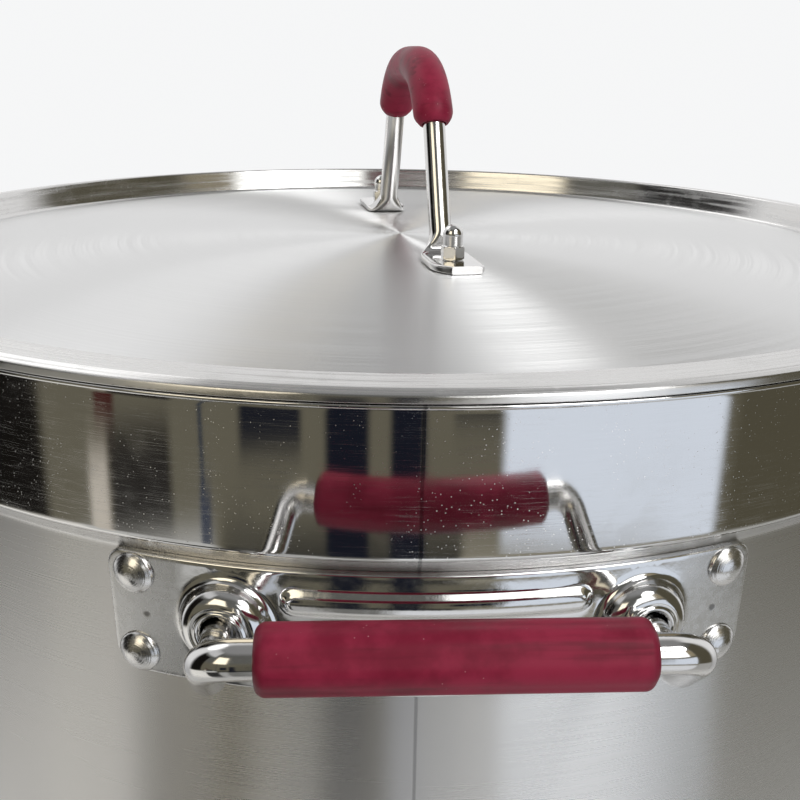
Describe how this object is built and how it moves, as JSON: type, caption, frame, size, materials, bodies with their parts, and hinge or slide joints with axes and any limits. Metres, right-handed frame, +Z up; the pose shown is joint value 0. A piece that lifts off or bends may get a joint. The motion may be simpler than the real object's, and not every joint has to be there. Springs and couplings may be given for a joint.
{
  "type": "stock pot",
  "caption": "Deep stainless stock pot with a sandwich base, riveted side handles and a loose lid sunk inside its raised rim, all handles in silicone sleeves.",
  "frame": {"origin": "middle of the underside of the base, on the surface the pot stands on", "axes": "+Z up along the pot's axis; the side handles stand at -Y and +Y; +X to the right seen from the front handle"},
  "size_m": [0.474, 0.5556, 0.5311],
  "materials": {
    "satin_steel": "turned satin, polished at the rim band",
    "polished_steel": "polished stainless steel",
    "core_aluminium": "plain rolled, enclosed",
    "silicone": "moulded raspberry-red silicone, satin"
  },
  "bodies": {
    "pot": {"pot_shell": "satin_steel", "base_core": "core_aluminium", "base_cap": "satin_steel", "front_handle_plate": "polished_steel", "front_handle_rod": "polished_steel", "front_handle_grip": "silicone", "front_rivet_left_upper": "polished_steel", "front_rivet_left_lower": "polished_steel", "front_rivet_right_upper": "polished_steel", "front_rivet_right_lower": "polished_steel", "back_handle_plate": "polished_steel", "back_handle_rod": "polished_steel", "back_handle_grip": "silicone", "back_rivet_left_upper": "polished_steel", "back_rivet_left_lower": "polished_steel", "back_rivet_right_upper": "polished_steel", "back_rivet_right_lower": "polished_steel"},
    "lid": {"lid_shell": "satin_steel", "lid_handle_rod": "polished_steel", "lid_handle_grip": "silicone", "lid_cap_nut_front": "polished_steel", "lid_cap_nut_back": "polished_steel", "lid_bolt_front": "satin_steel", "lid_bolt_back": "satin_steel", "lid_washer_front": "satin_steel", "lid_washer_back": "satin_steel"}
  },
  "joints": [
    {"name": "lid_lift", "type": "slide", "parent": "pot", "child": "lid", "axis": [0, 0, 1], "range_m": [0, 0.12]}
  ]
}
